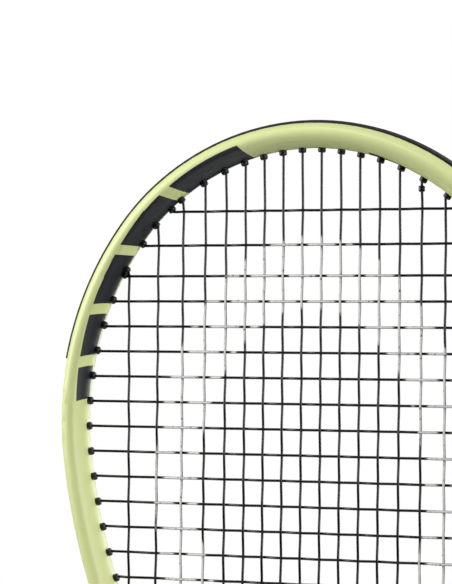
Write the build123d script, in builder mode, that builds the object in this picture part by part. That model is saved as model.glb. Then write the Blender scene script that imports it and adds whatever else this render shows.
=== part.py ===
"""Strung adult tennis racket with a vibration dampener on its two centre strings.

The racket stands upright on its butt: +Z runs from the butt to the tip, the strings lie in the XZ plane,
and the face that a player shows the ball is towards -Y.  The origin is the centre of the butt's end face.
All sizes are in millimetres.
"""

import os
from math import asin, ceil, cos, degrees, radians, sin, tan

from build123d import *

# ---- overall sizes -------------------------------------------------------------------------------------
overall_length = 685.4  # butt to the outside of the bumper guard
hoop_top_radius = 122.0  # centre line of the tube over the tip
hoop_shoulder_radius = 111.0
hoop_side_radius = 154.0
hoop_lower_radius = 320.0
top_arc_end = 50.0  # degrees above the widest point where the top arc meets the shoulder arc
shoulder_arc_end = 37.5
side_arc_end = -7.5
arm_slope = 28.0  # degrees from upright, the run of the throat arms
throat_radius = 130.0  # outward sweep where the arms turn into the shaft
leg_offset = 6.0  # centre of each shaft leg from the middle; the legs overlap a little and are one moulding
leg_bottom = 26.0
web_rise = 12.0  # how far the web between the legs runs up into the fork
web_inset = 0.5  # how far it lies behind the legs' faces

# ---- tube section --------------------------------------------------------------------------------------
tube_half_width = 6.45  # in the string plane
tube_half_depth = 10.5  # half the beam, across the string plane
crown_inset = 2.2  # how much smaller the front and back crowns' radius is than the half width
tube_wall = 1.6
groove_depth = 1.6  # channel for the grommet strips in the outer wall
groove_half_width = 3.4
groove_floor_wall = 1.4

# ---- bridge --------------------------------------------------------------------------------------------
bridge_drop = 327.0  # inside length of the hoop, from the tip's inner wall to the bridge
bridge_half_width = 5.2
bridge_half_depth = 10.0
bridge_radius = 150.0
bridge_corner_radius = 48.0
bridge_wall = 1.6
bridge_groove_depth = 1.4

# ---- strings -------------------------------------------------------------------------------------------
string_diameter = 1.3
weave_gap = 0.02  # air between the layer of mains and the layer of crosses
string_rest = 0.15  # string's height over the floor of its channel
main_gap = 10.0
even_mains = 4  # mains of each side that keep the even gap
outer_main_gaps = [10.4, 11.1, 12.0, 13.5, 16.1]
outer_main_lean = 1.4  # how much nearer the middle the outermost main's lower end is
bridge_mains = 4  # mains of each side that pass through the bridge
joint_mains = 2  # the next ones out, which pass through the joint of bridge and arm
first_cross_drop = 30.3  # from the tip's inner wall
cross_gap = 12.53
upper_cross_gaps = [16.8, 15.2]
even_cross_gaps = 12
lower_cross_gaps = [11.5, 16.0, 14.0, 15.5]
loop_step = 4.0  # longest straight piece of a string's run round the outside of the hoop
bend_reach = 0.45  # length of string that a slight bend takes
turn_radius = 1.0  # bend from a grommet into the outer channel
tip_radius = 0.75  # tightest bend at a grommet's tip
tail_length = 5.0  # loose end in the outer channel
knot_radius = 1.6
knot_length = 3.0
knot_reach = 3.2  # middle of a knot from the bend at the grommet

# ---- grommets, strips and bumper guard -----------------------------------------------------------------
barrel_radius = 1.8
barrel_bore = 0.85
barrel_reach = 1.9  # how far a grommet stands out of the inner wall
barrel_clearance = 0.1
bend_stand_off = 0.5  # string leaves a barrel this far before it bends
strip_floor = 0.9  # thickness of a strip under the string
strip_sink = 0.2  # how far a strip's rails lie under the tube's outer face
string_channel = 1.9  # half width of the channel that the string runs in
strip_clearance = 0.1
bumper_cover = 0.9  # thickness of the guard over the tube's paint
bumper_half_width = 4.8
bumper_end = 10.7  # degrees above the widest point
strip_end_gap = 1.5
strip_margin = 5.0  # strip left beyond its last grommet
bridge_strip_margin = 3.2

# ---- handle --------------------------------------------------------------------------------------------
handle_top = 186.0
pallet_side_wall = 2.55  # from the shaft to a pallet's side
pallet_face_wall = 2.5  # from the shaft to a pallet's front or back
pallet_corner = 7.0
pallet_bottom = 12.0
bond_line = 0.1  # gap filled with glue, all round
grip_thickness = 1.6
cap_rim_height = 4.0
cap_floor = 3.0
cap_top = 24.0
cap_flare = 1.7  # how far the skirt swells past the pallets at its lower end
cap_cavity_wall = 4.5
rim_bevel = 1.2
skirt_wall = 1.4
door_length = 20.0
door_width = 14.0
door_plate = 2.0
door_recess = 0.3
door_clearance = 0.15
hinge_radius = 1.5
hinge_pin_radius = 0.8
hinge_pin_clearance = 0.06
hinge_pin_reach = 1.5
notch_radius = 2.5
notch_depth = 1.2
plate_radius = 4.5
plate_depth = 0.6
plate_proud = 0.2
staple_length = 9.0
staple_wire = 0.7
staple_leg = 4.5
staple_height = 17.0
staple_clearance = 0.05
tape_width = 12.0
tape_thickness = 0.25
collar_bottom = 180.0
collar_shoulder = 189.0
collar_top = 199.0
collar_wall = 1.5
collar_neck = 1.6
wrap_clearance = 0.05
plug_length = 10.0
weight_length = 32.0
weight_clearance = 0.15

# ---- dampener ------------------------------------------------------------------------------------------
dampener_radius = 8.5
dampener_flange = 3.2  # thickness of each of its two flanges
dampener_edge = 1.2
dampener_clearance = 0.05
dampener_gap = 0.6  # under the last cross string
badge_radius = 5.0
badge_depth = 0.8

string_radius = string_diameter / 2
pallet_width = 2 * (leg_offset + tube_half_width + pallet_side_wall)
pallet_depth = 2 * (tube_half_depth + pallet_face_wall)
layer = string_radius + weave_gap / 2
MAIN_LAYER, CROSS_LAYER = -layer, layer


# ---- the tube's centre line, right half ----------------------------------------------------------------
class Run:
    """One arc or straight of a centre line in the XZ plane, walked from the tip towards the butt."""

    def __init__(self, start, heading, length, radius=None, bend=1):
        self.start = start  # (x, z)
        self.heading = heading  # degrees below +X that the walk points
        self.length = length
        self.radius = radius
        self.bend = bend  # 1 turns towards the butt's side, -1 turns away

    def turned(self, along):
        """Heading after a distance along this run, in degrees."""
        if self.radius is None:
            return self.heading
        return self.heading + self.bend * degrees(along / self.radius)

    def tangent(self, along):
        angle = radians(self.turned(along))
        return cos(angle), -sin(angle)

    def outward(self, along):
        """Unit vector away from the hoop's inside."""
        tx, tz = self.tangent(along)
        return -tz, tx

    def centre(self):
        nx, nz = self.outward(0)
        reach = -self.bend * self.radius
        return self.start[0] + nx * reach, self.start[1] + nz * reach

    def point(self, along, offset=0.0):
        nx, nz = self.outward(along)
        if self.radius is None:
            tx, tz = self.tangent(along)
            return self.start[0] + tx * along + nx * offset, self.start[1] + tz * along + nz * offset
        cx, cz = self.centre()
        reach = self.bend * self.radius + offset
        return cx + nx * reach, cz + nz * reach


class Track:
    """A chain of runs that share tangents."""

    def __init__(self, start, heading, steps):
        self.runs = []
        for turn, radius, bend, length in steps:
            if radius is not None:
                length = radians(turn) * radius
            run = Run(start, heading, length, radius, bend)
            self.runs.append(run)
            start, heading = run.point(length), run.turned(length)
        self.length = sum(run.length for run in self.runs)

    def locate(self, along):
        for run in self.runs[:-1]:
            if along <= run.length:
                return run, along
            along -= run.length
        return self.runs[-1], along

    def point(self, along, offset=0.0):
        run, rest = self.locate(along)
        return run.point(rest, offset)

    def outward(self, along):
        run, rest = self.locate(along)
        return run.outward(rest)

    def solve(self, offset, axis, value, low, high):
        """Distance along the track where the offset line crosses x = value (axis 0) or z = value (axis 1)."""
        rising = self.point(high, offset)[axis] > self.point(low, offset)[axis]
        for _ in range(60):
            middle = (low + high) / 2
            if (self.point(middle, offset)[axis] < value) == rising:
                low = middle
            else:
                high = middle
        return (low + high) / 2


top_z = overall_length - bumper_cover - tube_half_width  # centre line at the tip
arc_steps = [
    (90 - top_arc_end, hoop_top_radius, 1, None),
    (top_arc_end - shoulder_arc_end, hoop_shoulder_radius, 1, None),
    (shoulder_arc_end - side_arc_end, hoop_side_radius, 1, None),
    (arm_slope + side_arc_end, hoop_lower_radius, 1, None),
]
hoop = Track((0.0, top_z), 0.0, arc_steps)
hoop_length = hoop.length
side_start = hoop.runs[0].length + hoop.runs[1].length
widest = side_start + hoop_side_radius * radians(shoulder_arc_end)
arm_x, arm_z = hoop.point(hoop_length)
arm_normal = hoop.outward(hoop_length)
sweep_in = throat_radius * (1 - cos(radians(arm_slope)))
arm_length = (arm_x - leg_offset - sweep_in) / sin(radians(arm_slope))
leg_top = arm_z - arm_length * cos(radians(arm_slope)) - throat_radius * sin(radians(arm_slope))
leg_steps = [
    (0, None, 1, arm_length),
    (arm_slope, throat_radius, -1, None),
    (0, None, 1, leg_top - leg_bottom),
]
hairpin = Track((0.0, top_z), 0.0, arc_steps + leg_steps)
arm_end = hoop_length + arm_length

# ---- the bridge's centre line, left half, walked from the middle outwards -------------------------------
tip_inner_z = top_z - tube_half_width
bridge_z = tip_inner_z - bridge_drop - bridge_half_width
to_arm = -arm_x * arm_normal[0] + (bridge_z + bridge_radius - arm_z) * arm_normal[1]
corner_reach = -tube_half_width - (bridge_corner_radius - bridge_half_width) - to_arm
corner_turn = degrees(asin(corner_reach / (bridge_radius - bridge_corner_radius))) - arm_slope
bridge_steps = [
    (corner_turn, bridge_radius, 1, None),
    (90 - arm_slope - corner_turn, bridge_corner_radius, 1, None),
]
bridge = Track((0.0, bridge_z), 180.0, bridge_steps)


# ---- profiles ------------------------------------------------------------------------------------------
def oval(half_width, half_depth, mode=Mode.ADD):
    """Tube section: two crowns joined by long side arcs, all tangent. X is across the tube, Y its depth."""
    crown = half_width - crown_inset
    centre = half_depth - crown
    side = (half_width**2 + centre**2 - crown**2) / (2 * crown_inset)
    touch_x = (side - half_width) * crown / (side - crown)
    touch_y = centre + centre * crown / (side - crown)
    with BuildLine() as outline:
        ThreePointArc((-touch_x, touch_y), (0, half_depth), (touch_x, touch_y))
        ThreePointArc((touch_x, touch_y), (half_width, 0), (touch_x, -touch_y))
        ThreePointArc((touch_x, -touch_y), (0, -half_depth), (-touch_x, -touch_y))
        ThreePointArc((-touch_x, -touch_y), (-half_width, 0), (-touch_x, touch_y))
    make_face(outline.edges(), mode=mode)


def box_between(u0, u1, v0, v1, mode=Mode.ADD):
    """Rectangle from u0 to u1 across the tube and v0 to v1 through its depth."""
    with Locations(((u0 + u1) / 2, (v0 + v1) / 2)):
        Rectangle(u1 - u0, v1 - v0, mode=mode)


def tube_outer():
    oval(tube_half_width, tube_half_depth)


def hollow(half_width, half_depth, wall, groove):
    """Section of a void that leaves a full floor under the groove."""
    oval(half_width - wall, half_depth - wall)
    limit = half_width - groove - groove_floor_wall
    box_between(limit, half_width, -half_depth, half_depth, Mode.SUBTRACT)


def tube_void():
    hollow(tube_half_width, tube_half_depth, tube_wall, groove_depth)


def tube_groove():
    box_between(tube_half_width - groove_depth, tube_half_width * 2, -groove_half_width, groove_half_width)


def strip_section(half_width=tube_half_width, depth=groove_depth):
    """Flat strip in a groove: floor under the string, and a rail each side of it."""
    bottom = half_width - depth
    half = groove_half_width - strip_clearance
    box_between(bottom, bottom + strip_floor, -half, half)
    box_between(bottom, half_width - strip_sink, string_channel, half)
    box_between(bottom, half_width - strip_sink, -half, -string_channel)


def bridge_strip_section():
    strip_section(bridge_half_width, bridge_groove_depth)


def bumper_section():
    """Guard: an even cover over the outer wall, with a strip and its string channel in the middle."""
    bottom = tube_half_width - groove_depth
    half = groove_half_width - strip_clearance
    top = tube_half_width + bumper_cover
    oval(top, tube_half_depth + bumper_cover)
    box_between(0, top, -bumper_half_width, bumper_half_width, Mode.INTERSECT)
    oval(tube_half_width, tube_half_depth, Mode.SUBTRACT)
    box_between(bottom, tube_half_width + bumper_cover / 2, -half, half)
    box_between(bottom + strip_floor, top, -string_channel, string_channel, Mode.SUBTRACT)


def bridge_outer():
    oval(bridge_half_width, bridge_half_depth)


def bridge_void():
    hollow(bridge_half_width, bridge_half_depth, bridge_wall, bridge_groove_depth)


def bridge_groove():
    low = bridge_half_width - bridge_groove_depth
    box_between(low, bridge_half_width + groove_depth, -groove_half_width, groove_half_width)


def lay(track, profile, start, end, side=1, mode=Mode.ADD):
    """Carries a profile along a track from start to end; side is -1 for the mirrored half."""
    passed = 0.0
    for run in track.runs:
        low = max(start - passed, 0.0)
        high = min(end - passed, run.length)
        passed += run.length
        if high - low < 1e-6:
            continue
        x, z = run.point(low)
        nx, nz = run.outward(low)
        tx, tz = run.tangent(low)
        plane = Plane(origin=(side * x, 0, z), x_dir=(side * nx, 0, nz), z_dir=(side * tx, 0, tz))
        with BuildSketch(plane) as section:
            profile()
        if run.radius is None:
            extrude(section.sketch, amount=high - low, mode=mode)
        else:
            cx, cz = run.centre()
            axis = Axis((side * cx, 0, cz), (0, side * run.bend, 0))
            revolve(section.sketch, axis=axis, revolution_arc=degrees((high - low) / run.radius), mode=mode)


def both(track, profile, start, end, mode=Mode.ADD):
    for side in (1, -1):
        lay(track, profile, start, end, side, mode)


# ---- where every string goes ---------------------------------------------------------------------------
main_x = [main_gap * (i + 0.5) for i in range(even_mains)]
for gap in outer_main_gaps:
    main_x.append(main_x[-1] + gap)
cross_z = [tip_inner_z - first_cross_drop]
for gap in upper_cross_gaps + [cross_gap] * even_cross_gaps + lower_cross_gaps:
    cross_z.append(cross_z[-1] - gap)

tip_offset = tube_half_width + barrel_reach + bend_stand_off
floor_line = tube_half_width - groove_depth + strip_floor  # bottom of the string channel
string_line = floor_line + string_radius + string_rest
bridge_tip_offset = bridge_half_width + barrel_reach + bend_stand_off
bridge_floor_line = bridge_half_width - bridge_groove_depth + strip_floor
bridge_string_line = bridge_floor_line + string_radius + string_rest
rest_above_floor = string_line - floor_line
bumper_reach = widest - hoop_side_radius * radians(bumper_end)


class End:
    """One string's way through the tube, from its bend inside the hoop to the channel outside it."""

    def __init__(self, holder, x, z, normal, length, depth, station):
        self.holder = holder
        self.x = x
        self.z = z
        self.normal = normal
        self.length = length
        self.depth = depth
        self.station = station  # along the track, less than 0 on the left

    def at(self, along):
        return Vector(self.x + self.normal[0] * along, self.depth, self.z + self.normal[1] * along)

    def place(self, along):
        """A location there whose Z points outwards through the tube."""
        return Plane(origin=self.at(along), z_dir=(self.normal[0], 0, self.normal[1])).location


def side_name(side):
    return "left" if side < 0 else "right"


def hoop_end(axis, value, low, high, side, depth):
    """End of a string that leaves through the tube where it crosses x = value or z = value."""
    station = hairpin.solve(-tip_offset, axis, value, low, high)
    x, z = hairpin.point(station, -tip_offset)
    nx, nz = hairpin.outward(station)
    holder = "bumper" if station < bumper_reach else side_name(side)
    return End(holder, side * x, z, (side * nx, nz), tip_offset + string_line, depth, side * station)


def bridge_end(x, side):
    station = bridge.solve(-bridge_tip_offset, 0, -x, 0, bridge.length)
    z = bridge.point(station, -bridge_tip_offset)[1]
    nx, nz = bridge.outward(station)
    length = bridge_tip_offset + bridge_string_line
    return End("bridge", side * x, z, (-side * nx, nz), length, MAIN_LAYER, side * station)


def joint_end(x, side):
    """End of a main that passes through bridge and arm where the two meet."""
    z = bridge.point(bridge.solve(-bridge_tip_offset, 0, -x, 0, bridge.length), -bridge_tip_offset)[1]
    nx, nz = arm_normal
    inside = (x - arm_x) * nx + (z - arm_z) * nz
    station = hoop_length + (x - arm_x) * nz - (z - arm_z) * nx
    return End(side_name(side), side * x, z, (side * nx, nz), string_line - inside, MAIN_LAYER, side * station)


def main_ends(i, side):
    """Lower and upper end of main i, counted from the middle."""
    upper = hoop_end(0, main_x[i], 0, widest, side, MAIN_LAYER)
    if i < bridge_mains:
        return bridge_end(main_x[i], side), upper
    if i < bridge_mains + joint_mains:
        return joint_end(main_x[i], side), upper
    lean = outer_main_lean if i == len(main_x) - 1 else 0
    return hoop_end(0, main_x[i] - lean, widest, arm_end, side, MAIN_LAYER), upper


count = len(main_x)
mains = [main_ends(i, -1) for i in reversed(range(count))] + [main_ends(i, 1) for i in range(count)]
crosses = [[hoop_end(1, z, 0, arm_end, side, CROSS_LAYER) for side in (-1, 1)] for z in cross_z]
all_ends = [end for pair in mains + crosses for end in pair]
last_barrel = max(abs(end.station) for end in all_ends if end.holder in ("left", "right"))
last_bridge_barrel = max(abs(end.station) for end in all_ends if end.holder == "bridge")
strip_start = bumper_reach + strip_end_gap
strip_end = last_barrel + strip_margin
bridge_strip_end = last_bridge_barrel + bridge_strip_margin


def outside_points(start, end):
    """Points in the outer channel between two ends, close enough together to follow its curve."""
    on_bridge = start.holder == "bridge"
    track = bridge if on_bridge else hairpin
    offset = bridge_string_line if on_bridge else string_line
    steps = ceil(abs(end.station - start.station) / loop_step)
    points = []
    for k in range(1, steps):
        station = start.station + (end.station - start.station) * k / steps
        x, z = track.point(abs(station), offset)
        flip = -1 if (station < 0) != on_bridge else 1
        points.append(Vector(flip * x, start.depth, z))
    return points


def string_points(strings):
    """Corners of one string's route and the radius of each bend, walked from the first pair's first end."""
    corners = []
    at_end = 0
    for k, pair in enumerate(strings):
        start, stop = pair[at_end], pair[1 - at_end]
        if k:
            for point in outside_points(strings[k - 1][at_end], start):
                corners.append((point, None))
        corners.append((start.at(start.length), turn_radius))
        corners.append((start.at(0), tip_radius))
        corners.append((stop.at(0), tip_radius))
        corners.append((stop.at(stop.length), turn_radius))
        at_end = 1 - at_end
    first, last = strings[0][0], strings[-1][at_end]
    return [(tail_point(first), None)] + corners + [(tail_point(last), None)]


def tail_point(end):
    """Loose end of a string, a little further down the outer channel."""
    x, z = hairpin.point(abs(end.station) + tail_length, string_line)
    return Vector(x if end.station > 0 else -x, end.depth, z)


def bent_line(corners):
    """Draws the route in the line builder that is open: straights with an arc at each corner."""
    here = corners[0][0]
    for (before, _), (corner, tightest), (after, _) in zip(corners, corners[1:], corners[2:]):
        into = (corner - before).normalized()
        out = (after - corner).normalized()
        angle = radians(into.get_angle(out))
        if angle < 1e-4:
            continue
        radius = bend_reach / tan(angle / 2)
        if tightest == turn_radius:
            radius = turn_radius
        elif tightest is not None:
            radius = max(radius, tightest)
        reach = radius * tan(angle / 2)
        start = corner - into * reach
        end = corner + out * reach
        towards = (out - into).normalized()
        middle = corner + towards * (radius / cos(angle / 2) - radius)
        Line(here, start)
        ThreePointArc(start, middle, end)
        here = end
    Line(here, corners[-1][0])


def make_string(strings):
    with BuildLine() as route:
        bent_line(string_points(strings))
    wire = route.wire()
    with BuildSketch(Plane(origin=wire @ 0, z_dir=wire % 0)) as section:
        Circle(string_radius)
    sweep(section.sketch, path=wire)


def ends_of(holder):
    return [end for end in all_ends if end.holder == holder]


def add_barrels(ends):
    for end in ends:
        with Locations(end.place(bend_stand_off)):
            sleeve = end.length - bend_stand_off - rest_above_floor
            Cylinder(barrel_radius, sleeve, align=(Align.CENTER, Align.CENTER, Align.MIN))
    for end in ends:
        with Locations(end.place(0)):
            low_end = (Align.CENTER, Align.CENTER, Align.MIN)
            Cylinder(barrel_bore, end.length, align=low_end, mode=Mode.SUBTRACT)


# ---- frame ---------------------------------------------------------------------------------------------
bridge_void_end = bridge.runs[0].length
with BuildPart() as frame:
    both(hairpin, tube_outer, 0, hairpin.length)
    both(bridge, bridge_outer, 0, bridge.length)
    with BuildSketch(Plane.XY.offset(leg_bottom)):
        Rectangle(2 * leg_offset, 2 * (tube_half_depth - web_inset))
    extrude(amount=leg_top + web_rise - leg_bottom)
    both(hairpin, tube_void, 0, hairpin.length, Mode.SUBTRACT)
    both(bridge, bridge_void, 0, bridge_void_end, Mode.SUBTRACT)
    both(hairpin, tube_groove, 0, strip_end + strip_clearance, Mode.SUBTRACT)
    both(bridge, bridge_groove, 0, bridge_strip_end + strip_clearance, Mode.SUBTRACT)
    hole = barrel_radius + barrel_clearance
    for end in all_ends:
        with Locations(end.place(0)):
            low_end = (Align.CENTER, Align.CENTER, Align.MIN)
            Cylinder(hole, end.length, align=low_end, mode=Mode.SUBTRACT)

# ---- grommet strips and bumper guard -------------------------------------------------------------------
with BuildPart() as bumper_guard:
    both(hairpin, bumper_section, 0, bumper_reach)
    add_barrels(ends_of("bumper"))

with BuildPart() as strip_left:
    lay(hairpin, strip_section, strip_start, strip_end, -1)
    add_barrels(ends_of("left"))

with BuildPart() as strip_right:
    lay(hairpin, strip_section, strip_start, strip_end, 1)
    add_barrels(ends_of("right"))

with BuildPart() as strip_bridge:
    both(bridge, bridge_strip_section, 0, bridge_strip_end)
    add_barrels(ends_of("bridge"))

# ---- strings -------------------------------------------------------------------------------------------
with BuildPart() as main_string:
    make_string(mains)

with BuildPart() as cross_string:
    make_string(crosses)

# ---- knots: where each loose end is tied to a main beside it --------------------------------------------
knot_hosts = [mains[1][0], mains[-2][0], mains[3][0], mains[-4][1]]
with BuildPart() as knots:
    for end in knot_hosts:
        inwards = 1 if end.normal[1] < 0 else -1
        with Locations((end.x, end.depth, end.z + inwards * knot_reach)):
            Cylinder(knot_radius, knot_length)
            Cylinder(string_radius + wrap_clearance, knot_length, mode=Mode.SUBTRACT)
    ring_edges = knots.edges().filter_by(GeomType.CIRCLE).filter_by(lambda e: e.radius > string_diameter)
    fillet(ring_edges, knot_length / 4)


# ---- handle --------------------------------------------------------------------------------------------
def octagon(offset=0.0, width=pallet_width, depth=pallet_depth, mode=Mode.ADD):
    """The handle's eight-sided outline, grown by an offset that is the same on every side."""
    half_width, half_depth = width / 2 + offset, depth / 2 + offset
    corner = pallet_corner + offset * (2 - 2**0.5)
    points = [(half_width, half_depth - corner), (half_width - corner, half_depth)]
    points += [(-x, y) for x, y in reversed(points)]
    points += [(-x, -y) for x, y in points]
    Polygon(*points, align=None, mode=mode)


def prism(low, high, offset=0.0, mode=Mode.ADD):
    with BuildSketch(Plane.XY.offset(low)) as section:
        octagon(offset)
    extrude(section.sketch, amount=high - low, mode=mode)


def taper(low, high, low_offset, high_offset, mode=Mode.ADD):
    with BuildSketch(Plane.XY.offset(low)) as foot:
        octagon(low_offset)
    with BuildSketch(Plane.XY.offset(high)) as crest:
        octagon(high_offset)
    loft([foot.sketch.face(), crest.sketch.face()], ruled=True, mode=mode)


def cut_leg_room(low, high):
    """Room for the shaft of the frame, with a glue line round it."""
    for side in (1, -1):
        with BuildSketch(Plane((side * leg_offset, 0, low))) as section:
            oval(tube_half_width + bond_line, tube_half_depth + bond_line)
        extrude(section.sketch, amount=high - low, mode=Mode.SUBTRACT)
    with Locations((0, 0, (low + high) / 2)):
        Box(2 * leg_offset, 2 * (tube_half_depth - web_inset + bond_line), high - low, mode=Mode.SUBTRACT)


def fill_legs(low, high):
    """A pair of slugs that fit inside the hollow legs."""
    for side in (1, -1):
        plane = Plane(origin=(side * leg_offset, 0, low), x_dir=(side, 0, 0), z_dir=(0, 0, 1))
        with BuildSketch(plane) as section:
            tube_void()
            offset(amount=-weight_clearance, kind=Kind.INTERSECTION, mode=Mode.REPLACE)
        extrude(section.sketch, amount=high - low)


def staple_shape(side, grow, mode):
    """A wire staple driven through the cap's skirt into the pallets from one narrow side."""
    flare = cap_flare * (cap_top - staple_height) / (cap_top - cap_rim_height)
    face = pallet_width / 2 + flare - staple_wire - wrap_clearance
    wire = staple_wire + 2 * grow
    centre = side * (face + staple_wire / 2)
    with Locations((centre, 0, staple_height)):
        Box(wire, staple_length + 2 * grow, wire, mode=mode)
    leg_x = side * (face - staple_leg / 2 + staple_wire)
    reach = (staple_length - staple_wire) / 2
    with Locations((leg_x, reach, staple_height), (leg_x, -reach, staple_height)):
        Box(staple_leg + 2 * grow, wire, wire, mode=mode)


def make_pallet(side):
    prism(pallet_bottom, cap_top, -skirt_wall - bond_line)
    prism(cap_top, handle_top)
    cut_leg_room(leg_bottom - bond_line, handle_top)
    for end in (1, -1):
        staple_shape(end, staple_clearance, Mode.SUBTRACT)
    middle = (0, -side * (pallet_depth / 2 - bond_line / 2), handle_top / 2)
    with Locations(middle):
        Box(pallet_width, pallet_depth, handle_top, mode=Mode.SUBTRACT)


with BuildPart() as pallet_front:
    make_pallet(-1)

with BuildPart() as pallet_back:
    make_pallet(1)

hinge_y = door_width / 2 - door_clearance - hinge_radius
hinge_z = hinge_radius
with BuildPart() as butt_cap:
    prism(0, cap_rim_height, cap_flare + grip_thickness)
    chamfer(butt_cap.faces().sort_by(Axis.Z)[0].edges(), rim_bevel)
    taper(cap_rim_height, cap_top, cap_flare, 0)
    prism(pallet_bottom, cap_top, -skirt_wall, Mode.SUBTRACT)
    prism(cap_floor, pallet_bottom, -cap_cavity_wall, Mode.SUBTRACT)
    with Locations((0, 0, cap_floor / 2)):
        Box(door_length, door_width, cap_floor, mode=Mode.SUBTRACT)
    with Locations((0, hinge_y, hinge_z)):
        with Locations(Rotation(0, 90, 0)):
            hole = hinge_pin_radius + hinge_pin_clearance
            Cylinder(hole, door_length + 2 * hinge_pin_reach + door_clearance, mode=Mode.SUBTRACT)
    with Locations((0, -door_width / 2, notch_depth / 2)):
        Cylinder(notch_radius, notch_depth, mode=Mode.SUBTRACT)
    for end in (1, -1):
        staple_shape(end, staple_clearance, Mode.SUBTRACT)

plate_back = door_recess + plate_depth
with BuildPart() as trap_door:
    front_edge = -door_width / 2 + door_clearance
    with Locations((0, (front_edge + hinge_y) / 2, door_recess + door_plate / 2)):
        Box(door_length - 2 * door_clearance, hinge_y - front_edge, door_plate)
    with Locations((0, hinge_y, hinge_z)):
        with Locations(Rotation(0, 90, 0)):
            Cylinder(hinge_radius, door_length - 2 * door_clearance)
            Cylinder(hinge_pin_radius, door_length + 2 * hinge_pin_reach - 2 * door_clearance)
    with Locations((0, 0, plate_back / 2)):
        Cylinder(plate_radius + wrap_clearance, plate_back, mode=Mode.SUBTRACT)

with BuildPart() as door_badge:
    with Locations((0, 0, plate_back - plate_depth / 2 - plate_proud / 2)):
        Cylinder(plate_radius, plate_depth + plate_proud)
    chamfer(door_badge.faces().sort_by(Axis.Z)[0].edges(), plate_proud)

with BuildPart() as staples:
    for end in (1, -1):
        staple_shape(end, 0, Mode.ADD)

with BuildPart() as leg_plugs:
    fill_legs(leg_bottom, leg_bottom + plug_length)

with BuildPart() as balance_weights:
    fill_legs(leg_bottom + plug_length, leg_bottom + plug_length + weight_length)

grip_foot = cap_rim_height + wrap_clearance
grip_inner = wrap_clearance
grip_outer = grip_thickness
with BuildPart() as base_grip:
    prism(cap_top, handle_top, grip_outer)
    taper(grip_foot, cap_top, cap_flare + grip_outer, grip_outer)
    prism(cap_top, handle_top, grip_inner, Mode.SUBTRACT)
    taper(grip_foot, cap_top, cap_flare + grip_inner, grip_inner, Mode.SUBTRACT)

tape_inner = grip_outer + wrap_clearance
tape_outer = tape_inner + tape_thickness
with BuildPart() as finishing_tape:
    prism(handle_top - tape_width, handle_top, tape_outer)
    prism(handle_top - tape_width, handle_top, tape_inner, Mode.SUBTRACT)

collar_inner = tape_outer + wrap_clearance
collar_seat = handle_top + wrap_clearance
with BuildPart() as rubber_collar:
    prism(collar_bottom, collar_shoulder, collar_inner + collar_wall)
    with BuildSketch(Plane.XY.offset(collar_shoulder)):
        octagon(collar_inner + collar_wall)
    with BuildSketch(Plane.XY.offset(collar_top)):
        octagon(collar_neck, 2 * (leg_offset + tube_half_width), 2 * tube_half_depth)
    loft(ruled=True)
    prism(collar_bottom, collar_seat, collar_inner, Mode.SUBTRACT)
    cut_leg_room(collar_bottom, collar_top)

# ---- vibration dampener --------------------------------------------------------------------------------
dampener_z = cross_z[-1] - string_radius - dampener_gap - dampener_radius
flange_inner = string_radius + dampener_clearance
flange_outer = flange_inner + dampener_flange
core_radius = main_x[0] - string_radius - dampener_clearance
dampener_plane = Plane(origin=(0, MAIN_LAYER, dampener_z), x_dir=(1, 0, 0), z_dir=(0, -1, 0))
with BuildPart() as dampener:
    with BuildSketch(dampener_plane.offset(-flange_outer)):
        Circle(dampener_radius)
    extrude(amount=2 * flange_outer)
    rims = dampener.edges().filter_by(GeomType.CIRCLE)
    fillet(rims, dampener_edge)
    with BuildSketch(dampener_plane.offset(-flange_inner)):
        Circle(dampener_radius + dampener_edge)
        Circle(core_radius, mode=Mode.SUBTRACT)
    extrude(amount=2 * flange_inner, mode=Mode.SUBTRACT)
    with BuildSketch(dampener_plane.offset(flange_outer)):
        Circle(badge_radius + dampener_clearance)
    extrude(amount=-badge_depth, mode=Mode.SUBTRACT)

with BuildPart() as dampener_badge:
    with BuildSketch(dampener_plane.offset(flange_outer - badge_depth)):
        Circle(badge_radius)
    extrude(amount=badge_depth)
    chamfer(dampener_badge.edges().group_by(Axis.Y)[0], badge_depth / 4)

os.makedirs("parts", exist_ok=True)
frame.part.label = "frame"
export_step(frame.part, "parts/frame.step")
bumper_guard.part.label = "bumper_guard"
export_step(bumper_guard.part, "parts/bumper_guard.step")
strip_left.part.label = "grommet_strip_left"
export_step(strip_left.part, "parts/grommet_strip_left.step")
strip_right.part.label = "grommet_strip_right"
export_step(strip_right.part, "parts/grommet_strip_right.step")
strip_bridge.part.label = "grommet_strip_bridge"
export_step(strip_bridge.part, "parts/grommet_strip_bridge.step")
main_string.part.label = "main_string"
export_step(main_string.part, "parts/main_string.step")
cross_string.part.label = "cross_string"
export_step(cross_string.part, "parts/cross_string.step")
knots.part.label = "tie_off_knots"
export_step(knots.part, "parts/tie_off_knots.step")
pallet_front.part.label = "pallet_front"
export_step(pallet_front.part, "parts/pallet_front.step")
pallet_back.part.label = "pallet_back"
export_step(pallet_back.part, "parts/pallet_back.step")
butt_cap.part.label = "butt_cap"
export_step(butt_cap.part, "parts/butt_cap.step")
trap_door.part.label = "trap_door"
export_step(trap_door.part, "parts/trap_door.step")
door_badge.part.label = "door_badge"
export_step(door_badge.part, "parts/door_badge.step")
staples.part.label = "cap_staples"
export_step(staples.part, "parts/cap_staples.step")
leg_plugs.part.label = "leg_plugs"
export_step(leg_plugs.part, "parts/leg_plugs.step")
balance_weights.part.label = "balance_weights"
export_step(balance_weights.part, "parts/balance_weights.step")
base_grip.part.label = "base_grip"
export_step(base_grip.part, "parts/base_grip.step")
finishing_tape.part.label = "finishing_tape"
export_step(finishing_tape.part, "parts/finishing_tape.step")
rubber_collar.part.label = "rubber_collar"
export_step(rubber_collar.part, "parts/rubber_collar.step")
dampener.part.label = "vibration_dampener"
export_step(dampener.part, "parts/vibration_dampener.step")
dampener_badge.part.label = "dampener_badge"
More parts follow.
